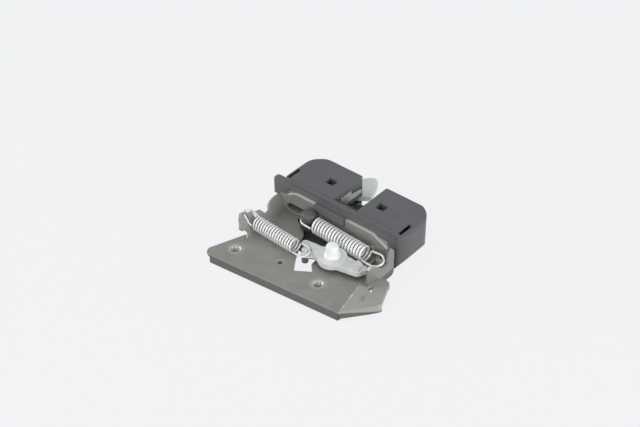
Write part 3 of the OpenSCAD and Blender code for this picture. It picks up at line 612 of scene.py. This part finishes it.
frame_steel = steel_material("frame_steel", face=(0.33, 0.33, 0.315, 1), pale=(0.6, 0.6, 0.58, 1),
                             metal=0.4, rough=0.42, edge=0.5, scratch=0.4, scale=1.3)
lining_steel = steel_material("lining_steel", face=(0.56, 0.56, 0.54, 1), pale=(0.7, 0.7, 0.68, 1),
                              metal=0.4, rough=0.42, edge=0.5, scratch=0.4, scale=1.3)
rivet_steel = steel_material("rivet_steel", face=(0.45, 0.45, 0.44, 1), pale=(0.68, 0.68, 0.66, 1),
                             metal=0.6, rough=0.36, edge=0.6, scratch=0.3, scale=1.8)
for name in ("frame_lower", "pawl"):
    dress(name, frame_steel)
dress("frame_upper", lining_steel)
for name in TURNED_PIECES:
    dress(name, rivet_steel)

# Housing
# Glass-filled dark grey nylon in two halves, with a spark-eroded grain, slightly polished where hands
# and the seat cover rub it. A ribbed rubber buffer is pushed into the bottom of the throat.
PLASTIC_EDGE = 0.9 * MM
PLASTIC_SOFTNESS = 2.0 * MM
BROAD_GRAIN = {"scale": 38, "detail": 5, "rough": 0.6}
BROAD_TONES = (0.3, 0.7)
BROAD_CONTRAST = 0.07
BROAD_DULLING = 0.16
FINE_GRAIN = {"scale": 2600, "detail": 2}
FINE_HEIGHT = 0.1 * MM


def plastic_material(name, color, rough, grain, rub, rub_amount):
    """Moulded plastic or rubber: a broad change of tone, a fine grain, and rubbed edges."""
    mat, tree, shader = blank(name)
    at = object_coords(tree)
    broad = noise(tree, at, **BROAD_GRAIN)
    tone = mix_color(tree, ramp(tree, broad, *BROAD_TONES), tinted(color, 1 - BROAD_CONTRAST),
                     tinted(color, 1 + BROAD_CONTRAST))
    worn = use(tree, WORN_EDGE, Radius=PLASTIC_EDGE, Amount=rub_amount)["Mask"]
    feed(tree, mix_color(tree, worn, tone, rub), shader["Base Color"])
    vary_roughness(tree, broad, rough, BROAD_DULLING, shader)
    relief = {"Strength": grain, "Distance": FINE_HEIGHT, "Height": noise(tree, at, **FINE_GRAIN),
              "Normal": softened_normal(tree, PLASTIC_SOFTNESS)}
    feed(tree, node(tree, "ShaderNodeBump", relief).outputs["Normal"], shader["Normal"])
    return mat


housing_plastic = plastic_material("housing_plastic", color=(0.118, 0.119, 0.123, 1), rough=0.55, grain=0.35,
                                   rub=(0.19, 0.19, 0.195, 1), rub_amount=0.45)
buffer_rubber = plastic_material("buffer_rubber", color=(0.05, 0.05, 0.05, 1), rough=0.7, grain=0.5,
                                 rub=(0.1, 0.1, 0.1, 1), rub_amount=0.4)
for name in ("housing_lower", "housing_upper"):
    dress(name, housing_plastic)
dress("throat_buffer", buffer_rubber)

# Claw, post and knob
# The claw is a die-cast part, near black up to its jaw, which shows pale behind the left lobe. The black is
# a coat by its post and painted shade on its finger down in the throat. A black moulded knob sits on the
# claw's post, and the larger spring hooks round it.
CLAW_COAT_AND_SHADE = (0.045, 0.045, 0.044, 1)
CLAW_DARK_Y = (103.0, 101.5)


def claw_material():
    """Bare zinc on the jaw, and near black on the rest: a coat by the post, painted shade on the finger."""
    mat = steel_material("claw_zinc", face=(0.66, 0.70, 0.675, 1), pale=(0.7, 0.72, 0.7, 1), metal=0.15,
                         rough=0.5, edge=0.4, scratch=0.25, scale=1.2)
    y = axes_of(mat.node_tree, object_coords(mat.node_tree))[1]
    # Near black past the jaw: a black coat by the post and painted shade on the finger.
    lay_over(mat, fade(mat.node_tree, y, CLAW_DARK_Y), CLAW_COAT_AND_SHADE)
    return mat


knob_plastic = plastic_material("bush_plastic", color=(0.10, 0.10, 0.098, 1), rough=0.45, grain=0.3,
                                rub=(0.16, 0.16, 0.16, 1), rub_amount=0.6)
dress("claw", claw_material())
dress("claw_post_bush", knob_plastic)

# Release lever
# A pale zinc casting, with painted shade along its foot, that turns on a shouldered pin. A white
# moulded cap stands on its hub.
FOOT_SHADE_DARK = (0.05, 0.05, 0.048, 1)
FOOT_SHADE_Z = (4.1, 3.5)
FOOT_SHADE_AMOUNT = 0.9


def lever_material():
    """Bare zinc, with painted shade along the foot."""
    mat = steel_material("lever_zinc", face=(0.73, 0.74, 0.73, 1), pale=(0.86, 0.87, 0.86, 1), metal=0.2,
                         rough=0.42, edge=0.5, scratch=0.3, scale=1.6)
    z = axes_of(mat.node_tree, object_coords(mat.node_tree))[2]
    foot = fade(mat.node_tree, z, FOOT_SHADE_Z)
    # Painted shade darkens the lever's foot.
    lay_over(mat, combine(mat.node_tree, "MULTIPLY", foot, FOOT_SHADE_AMOUNT), FOOT_SHADE_DARK)
    return mat


cap_plastic = plastic_material("cap_plastic", color=(0.93, 0.94, 0.92, 1), rough=0.4, grain=0.1,
                               rub=(0.9, 0.91, 0.89, 1), rub_amount=0.2)
dress("release_lever", lever_material())
dress("lever_cap", cap_plastic)

# Springs
# Two bright-drawn extension springs with a half loop at each end. The larger pulls the claw open, and
# the smaller returns the lever. The outer diameters are those of the path before its bends are softened,
# which draws the coils in to 14.4 and 12.7 mm, against 13.5 and 11.3 mm in the CAD.
CLAW_SPRING = {"start": (-10.3, 53.0), "end": (62.6, 49.2), "z": 8.35, "outer": 14.7, "wire": 1.9,
               "turns": 18, "loops": (8.6, 10.0), "near_slope": 0.0, "far_r": 6.8, "far_tilt": 12}
LEVER_SPRING = {"start": (-50.4, 25.1), "end": (10.4, 21.95), "z": 6.9, "outer": 13.0, "wire": 1.5,
                "turns": 16, "loops": (8.4, 8.6), "near_slope": 0.42, "far_r": 5.3, "far_tilt": 24}
COIL_STEPS = 28
LOOP_STEP = 10
WIRE_SIDES = 14
WIRE_POINT_SPACING = 0.9
BEND_SOFTNESS = 3
FIRST_POINT_X = 0.2
LAST_POINT_WIRES = 0.4


def half_loop(at, r, side, slope):
    """Points of a half loop, on the coil's near side (-1) or far side (1), that leans by its slope."""
    angles = [side * math.radians(a) for a in range(90, -91, -LOOP_STEP)]
    reaches = [at + side * r * math.cos(a) for a in angles]
    return [(reach, r * math.sin(a), -slope * reach) for reach, a in zip(reaches, angles)]


def spring_path(start, end, z, outer, wire, turns, loops, near_slope, far_r, far_tilt):
    """Points along a spring's wire from its first hook, round its coil, to its last hook, in metres."""
    r = (outer - wire) / 2
    run = Vector(end) - Vector(start)
    length = run.length - sum(loops)
    points = [(FIRST_POINT_X, -r, 0.0)] + half_loop(-loops[0], r, -1, near_slope)
    for i in range(turns * COIL_STEPS + 1):
        a = math.radians(90 - 360 * i / COIL_STEPS)
        points.append((length * i / (turns * COIL_STEPS), r * math.sin(a), r * math.cos(a)))
    far = half_loop(length + loops[1], far_r, 1, 0) + [(length + LAST_POINT_WIRES * wire, -far_r, 0)]
    lean = math.radians(far_tilt)
    points += [(x, y * math.cos(lean), y * math.sin(lean)) for x, y, _ in far]
    place = Matrix.Translation((start[0], start[1], z)) @ Matrix.Rotation(math.atan2(run.y, run.x), 4, "Z")
    return [place @ Vector((x + loops[0], y, h)) * MM for x, y, h in points]


def wire_tree(mat):
    """Evens out a path, softens its bends as a bending tool does, and sweeps a round wire along it."""
    inputs = {"Path": "Geometry", "Wire Radius": "Float", "Sides": "Int", "Point Spacing": "Float",
              "Bend Softness": "Int"}
    tree, given, out = new_tree("drawn_wire", "GeometryNodeTree", inputs, {"Wire": "Geometry"})
    feeds = {"Curve": given["Path"], "Length": given["Point Spacing"]}
    even = node(tree, "GeometryNodeResampleCurve", feeds, mode="LENGTH")
    place = node(tree, "GeometryNodeInputPosition").outputs[0]
    feeds = {"Value": place, "Iterations": given["Bend Softness"]}
    soft = node(tree, "GeometryNodeBlurAttribute", feeds, data_type="FLOAT_VECTOR")
    bent = node(tree, "GeometryNodeSetPosition", {"Geometry": even.outputs[0], "Position": soft.outputs[0]})
    feeds = {"Resolution": given["Sides"], "Radius": given["Wire Radius"]}
    profile = node(tree, "GeometryNodeCurvePrimitiveCircle", feeds)
    feeds = {"Curve": bent.outputs[0], "Profile Curve": profile.outputs["Curve"], "Fill Caps": True}
    sweep = node(tree, "GeometryNodeCurveToMesh", feeds)
    smooth = node(tree, "GeometryNodeSetShadeSmooth", {"Geometry": sweep.outputs[0]})
    end_tree(tree, smooth.outputs[0], mat, out)
    return tree


spring_wire = steel_material("spring_wire", face=(0.90, 0.905, 0.90, 1), pale=(0.93, 0.93, 0.93, 1),
                             metal=0.35, rough=0.34, edge=0.0, scratch=0.2, scale=2.0, contrast=0.05)
WIRE_TREE = wire_tree(spring_wire)


def make_spring(name, sizes):
    """A spring's path drawn as a curve and made into its wire."""
    points = spring_path(**sizes)
    curve = bpy.data.curves.new(name + "_path", "CURVE")
    curve.dimensions = "3D"
    spline = curve.splines.new("POLY")
    spline.points.add(len(points) - 1)
    for point, at in zip(spline.points, points):
        point.co = (*at, 1)
    wire_sizes = {"Wire Radius": sizes["wire"] / 2 * MM, "Sides": WIRE_SIDES,
                  "Point Spacing": WIRE_POINT_SPACING * MM, "Bend Softness": BEND_SOFTNESS}
    return worked(add(name + "_path", curve), WIRE_TREE, wire_sizes, name)


claw_spring = make_spring("claw_spring_wire", CLAW_SPRING)
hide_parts("claw_spring")
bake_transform(claw_spring)

lever_spring = make_spring("lever_spring_wire", LEVER_SPRING)
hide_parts("lever_spring")
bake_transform(lever_spring)

# Node layout
# Every node tree is laid out in columns for whoever opens it.
COLUMN_STEP = 220
ROW_STEP = 190


def lay_out(tree):
    """Sets a tree's nodes in columns, each one to the left of all that it feeds."""
    columns = {made.name: 0 for made in tree.nodes}
    for _ in columns:
        for link in tree.links:
            nearer = columns[link.to_node.name]
            columns[link.from_node.name] = max(columns[link.from_node.name], nearer + 1)
    filled = {}
    for made in tree.nodes:
        column = columns[made.name]
        made.location = (-COLUMN_STEP * column, -ROW_STEP * filled.get(column, 0))
        filled[column] = filled.get(column, 0) + 1


for tree in [mat.node_tree for mat in bpy.data.materials if mat.node_tree] + list(bpy.data.node_groups):
    lay_out(tree)
